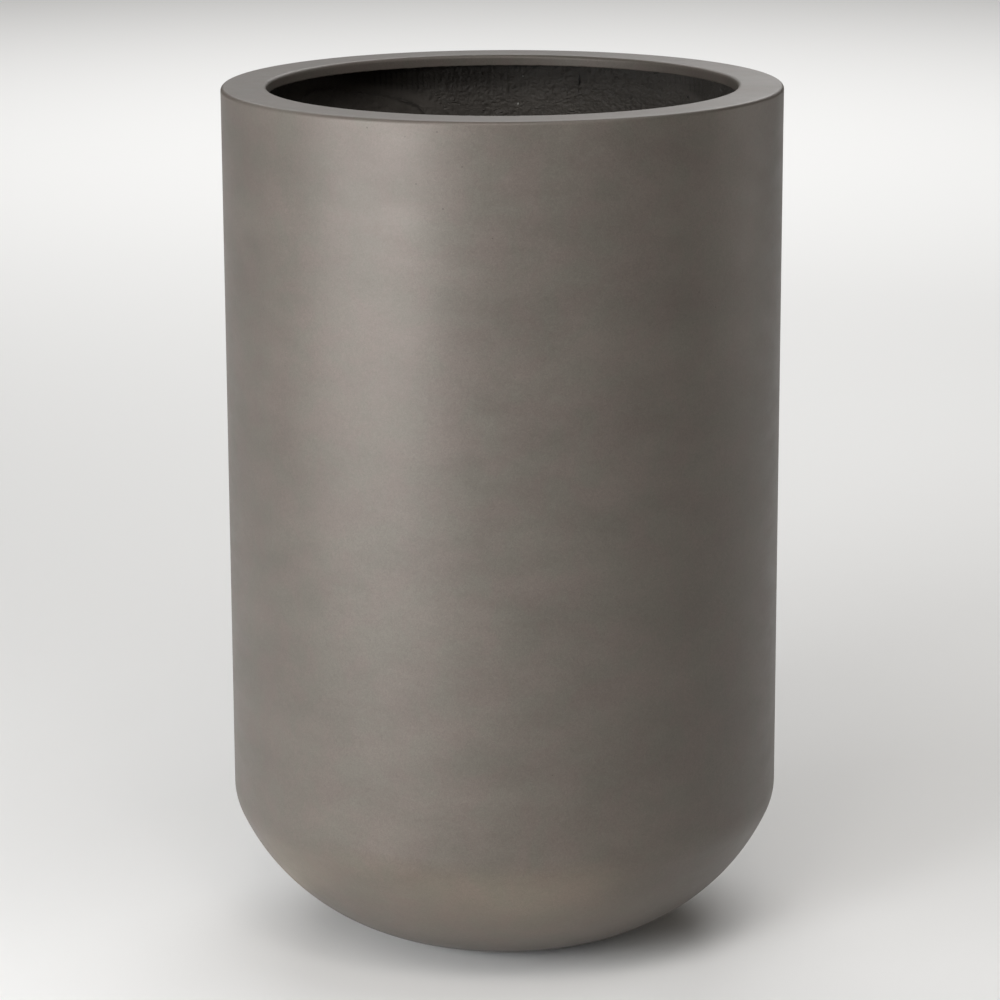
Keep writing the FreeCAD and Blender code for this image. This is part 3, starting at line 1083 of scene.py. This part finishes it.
lightTint = {
    "leftPanelNear": (0.97, 0.985, 1.0),
    "leftPanelFar": (0.97, 0.985, 1.0),
    "frontHigh": (1.0, 0.96, 0.92),
    "rightEdge": (1.0, 0.96, 0.90),
    "bounceFront": (1.0, 0.84, 0.58),
    "bounceLeft": (1.0, 0.82, 0.52),
}
bounceCards = {
    # lit cards lying on the floor, facing up, that lighten the bowl from below: middle, size and watts
    "bounceFront": {"middle": (-0.05, -0.26), "size": (0.40, 0.12), "power": 0.105},
    "bounceLeft": {"middle": (-0.24, -0.12), "size": (0.12, 0.30), "power": 0.034},
}
cardHeight = 0.003
lightTarget = Vector((0.0, 0.0, 0.34))
worldSettings = {"colour": (1.0, 0.90, 0.76, 1.0), "strength": 0.06}


def areaLight(name, size, power, place, turnTo):
    data = bpy.data.lights.new(name, "AREA")
    data.shape = "RECTANGLE"
    data.size, data.size_y = size
    data.energy = power
    data.color = lightTint.get(name, (1.0, 1.0, 1.0))
    lamp = bpy.data.objects.new(name, data)
    bpy.context.scene.collection.objects.link(lamp)
    lamp.location = place
    lamp.rotation_mode = "QUATERNION"
    lamp.rotation_quaternion = turnTo.to_track_quat("Z", "Y")
    lamp.visible_camera = False


def makeLights():
    for name, s in lightSettings.items():
        turn, rise = math.radians(s["azimuth"]), math.radians(s["elevation"])
        away = Vector((math.sin(turn) * math.cos(rise), -math.cos(turn) * math.cos(rise), math.sin(rise)))
        facing = Vector((0, 0, 1)) if name == "floorWash" else away
        areaLight(name, s["size"], s["power"], lightTarget + away * s["distance"], facing)
    for name, s in bounceCards.items():
        areaLight(name, s["size"], s["power"], Vector((*s["middle"], cardHeight)), Vector((0, 0, -1)))
    world = bpy.data.worlds.new("studioWorld")
    world.use_nodes = True
    background = world.node_tree.nodes["Background"]
    background.inputs["Color"].default_value = worldSettings["colour"]
    background.inputs["Strength"].default_value = worldSettings["strength"]
    bpy.context.scene.world = world


cameraSettings = {
    "distance": 2.8585,
    "height": 1.0401,
    "downwards": 13.697,       # degrees
    "turn": 0.057,
    "roll": -0.207,
    "lens": 134.22,            # millimetres
    "sensor": 36.0,
    "farthest": 100.0,
}


def makeCamera():
    s = cameraSettings
    data = bpy.data.cameras.new("studioCamera")
    data.lens = s["lens"]
    data.sensor_width = s["sensor"]
    data.clip_end = s["farthest"]
    camera = bpy.data.objects.new("studioCamera", data)
    bpy.context.scene.collection.objects.link(camera)
    camera.matrix_world = (
        Matrix.Translation((0.0, -s["distance"], s["height"]))
        @ Matrix.Rotation(math.radians(s["turn"]), 4, "Z")
        @ Matrix.Rotation(math.radians(90 - s["downwards"]), 4, "X")
        @ Matrix.Rotation(math.radians(s["roll"]), 4, "Z")
    )
    bpy.context.scene.camera = camera


makeFloor()
makeLights()
makeCamera()
bpy.context.scene.view_settings.view_transform = "Standard"
print("stage made")
